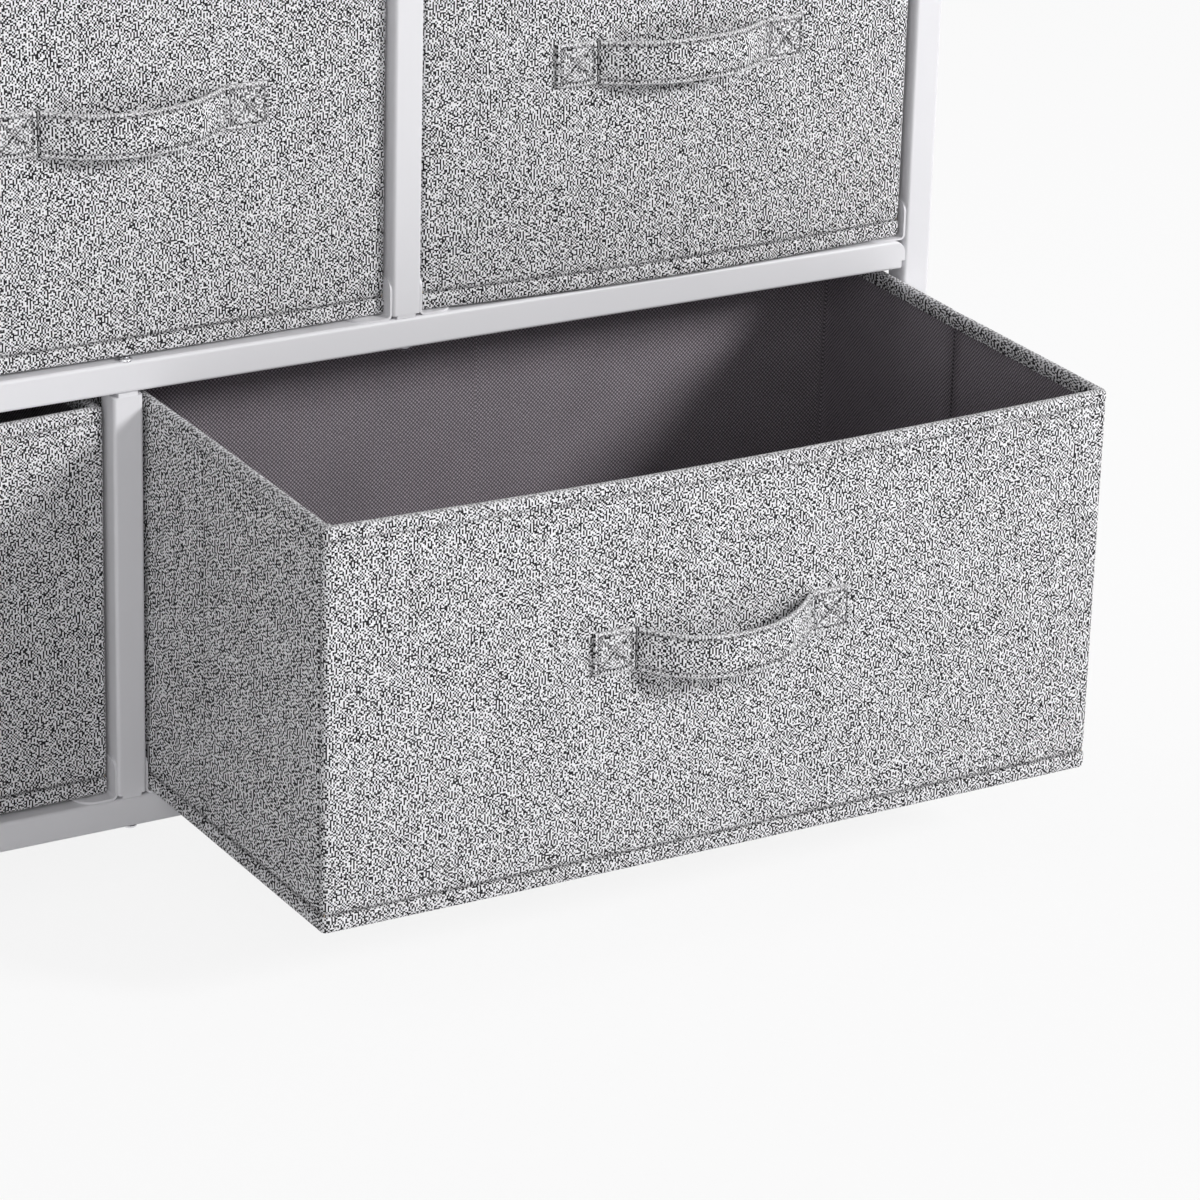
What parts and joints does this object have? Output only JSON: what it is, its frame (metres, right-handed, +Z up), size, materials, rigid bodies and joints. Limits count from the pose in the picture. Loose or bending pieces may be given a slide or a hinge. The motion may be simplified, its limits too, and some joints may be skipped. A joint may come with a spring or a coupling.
{
  "type": "fabric drawer dresser",
  "caption": "Low wide dresser: a white square-tube steel frame under a wooden top, with fabric box drawers on sheet runners, strap handles and plastic foot caps.",
  "frame": {"origin": "middle of the bounding box on the floor, with the lower right drawer pulled out as at rest", "axes": "+X to the right along the width, +Y to the rear (the drawer fronts face -Y), +Z up"},
  "size_m": [1.008, 0.5264, 0.555],
  "materials": {
    "white_steel": "white powder coat, satin",
    "zinc_steel": "bright zinc plated",
    "foot_plastic": "moulded white plastic",
    "top_wood": "light oak-pattern laminate on board",
    "grey_fabric": "heathered light grey non-woven polyester",
    "charcoal_lining": "charcoal non-woven with a fine crosshatch emboss",
    "wall_board": "raw fibreboard",
    "lined_board": "fibreboard wrapped in the charcoal lining cloth"
  },
  "bodies": {
    "frame": {"top_board": "top_wood", "top_screws": "zinc_steel", "front_left_post": "white_steel", "front_right_post": "white_steel", "rear_left_post": "white_steel", "rear_right_post": "white_steel", "front_bottom_rail": "white_steel", "front_middle_rail": "white_steel", "front_top_rail": "white_steel", "rear_bottom_rail": "white_steel", "rear_middle_rail": "white_steel", "rear_top_rail": "white_steel", "left_bottom_side_rail": "white_steel", "left_middle_side_rail": "white_steel", "left_top_side_rail": "white_steel", "right_bottom_side_rail": "white_steel", "right_middle_side_rail": "white_steel", "right_top_side_rail": "white_steel", "upper_front_divider_1": "white_steel", "upper_front_divider_2": "white_steel", "upper_rear_divider_1": "white_steel", "upper_rear_divider_2": "white_steel", "lower_front_divider": "white_steel", "lower_rear_divider": "white_steel", "divider_saddles": "white_steel", "frame_bolts": "zinc_steel", "foot_caps": "foot_plastic", "upper_left_runners": "white_steel", "upper_middle_runners": "white_steel", "upper_right_runners": "white_steel", "lower_left_runners": "white_steel", "lower_right_runners": "white_steel"},
    "upper_left_drawer": {"upper_left_cover": "grey_fabric", "upper_left_wall_boards": "wall_board", "upper_left_lining": "charcoal_lining", "upper_left_base_board": "lined_board", "upper_left_handle": "grey_fabric"},
    "upper_middle_drawer": {"upper_middle_cover": "grey_fabric", "upper_middle_wall_boards": "wall_board", "upper_middle_lining": "charcoal_lining", "upper_middle_base_board": "lined_board", "upper_middle_handle": "grey_fabric"},
    "upper_right_drawer": {"upper_right_cover": "grey_fabric", "upper_right_wall_boards": "wall_board", "upper_right_lining": "charcoal_lining", "upper_right_base_board": "lined_board", "upper_right_handle": "grey_fabric"},
    "lower_left_drawer": {"lower_left_cover": "grey_fabric", "lower_left_wall_boards": "wall_board", "lower_left_lining": "charcoal_lining", "lower_left_base_board": "lined_board", "lower_left_handle": "grey_fabric"},
    "lower_right_drawer": {"lower_right_cover": "grey_fabric", "lower_right_wall_boards": "wall_board", "lower_right_lining": "charcoal_lining", "lower_right_base_board": "lined_board", "lower_right_handle": "grey_fabric"}
  },
  "joints": [
    {"name": "upper_left_slide", "type": "slide", "parent": "frame", "child": "upper_left_drawer", "axis": [0, -1, 0], "range_m": [0, 0.23]},
    {"name": "upper_middle_slide", "type": "slide", "parent": "frame", "child": "upper_middle_drawer", "axis": [0, -1, 0], "range_m": [0, 0.23]},
    {"name": "upper_right_slide", "type": "slide", "parent": "frame", "child": "upper_right_drawer", "axis": [0, -1, 0], "range_m": [-0.004, 0.226]},
    {"name": "lower_left_slide", "type": "slide", "parent": "frame", "child": "lower_left_drawer", "axis": [0, -1, 0], "range_m": [0, 0.23]},
    {"name": "lower_right_slide", "type": "slide", "parent": "frame", "child": "lower_right_drawer", "axis": [0, -1, 0], "range_m": [-0.21, 0.02]}
  ]
}
